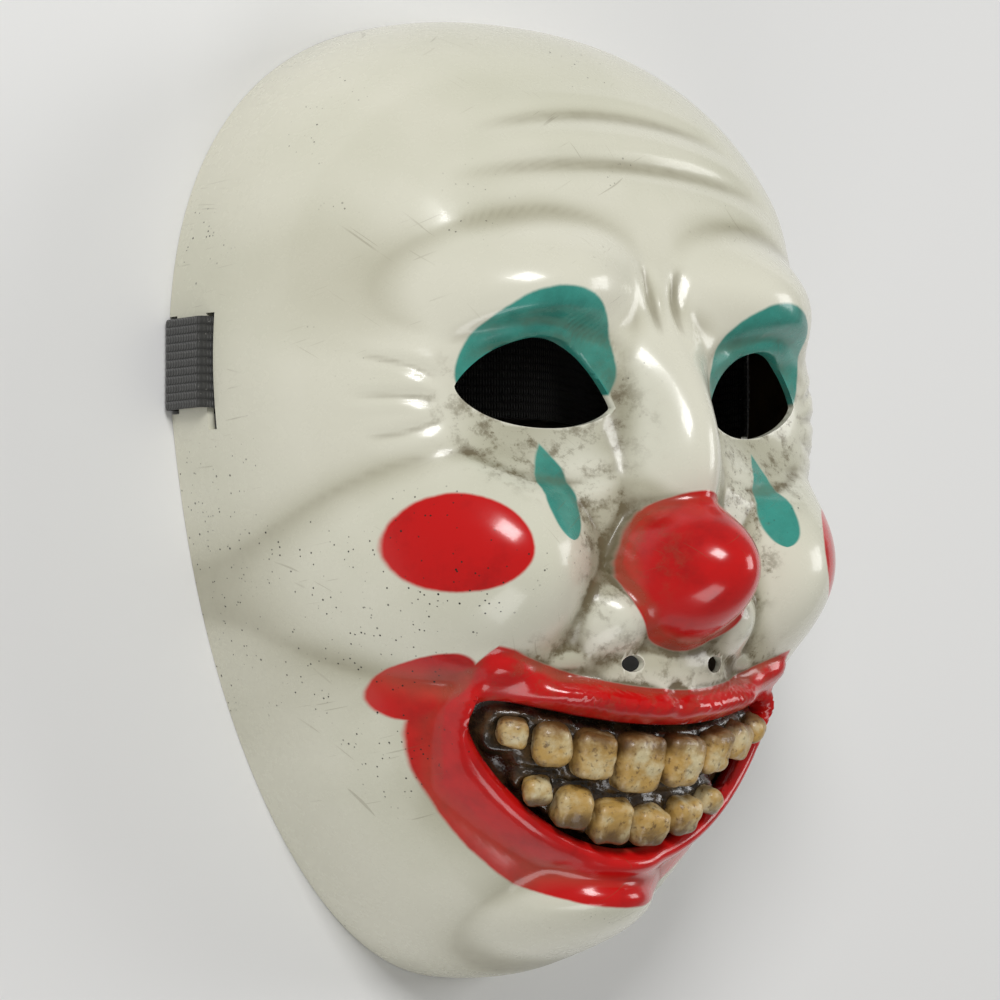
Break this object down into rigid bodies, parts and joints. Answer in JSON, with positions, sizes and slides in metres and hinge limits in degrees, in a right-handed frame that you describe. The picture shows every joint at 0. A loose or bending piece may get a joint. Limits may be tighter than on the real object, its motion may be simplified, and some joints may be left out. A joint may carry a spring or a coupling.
{
  "type": "clown mask",
  "caption": "Rigid half-shell clown face mask with open smile, uneven teeth, eye and nostril holes and a flat elastic strap through side slots.",
  "frame": {"origin": "middle of the underside of the overall box, on the plane of the rim", "axes": "+Z out of the face, +Y towards the top of the head, +X towards the wearer's left"},
  "size_m": [0.2044, 0.276, 0.1265],
  "materials": {
    "painted_shell": "ivory gloss paint with hand-painted clown make-up, grime in the creases",
    "gum": "dark wet-look gloss resin",
    "teeth": "stained ochre resin with brown spots",
    "elastic": "black ribbed woven elastic"
  },
  "bodies": {
    "root": {"shell": "painted_shell", "gum_plate": "gum", "tooth_upper_1": "teeth", "tooth_upper_2": "teeth", "tooth_upper_3": "teeth", "tooth_upper_4": "teeth", "tooth_upper_5": "teeth", "tooth_upper_6": "teeth", "tooth_upper_7": "teeth", "tooth_upper_8": "teeth", "tooth_lower_1": "teeth", "tooth_lower_2": "teeth", "tooth_lower_3": "teeth", "tooth_lower_4": "teeth", "tooth_lower_5": "teeth", "tooth_lower_6": "teeth", "elastic_strap": "elastic"}
  },
  "joints": []
}
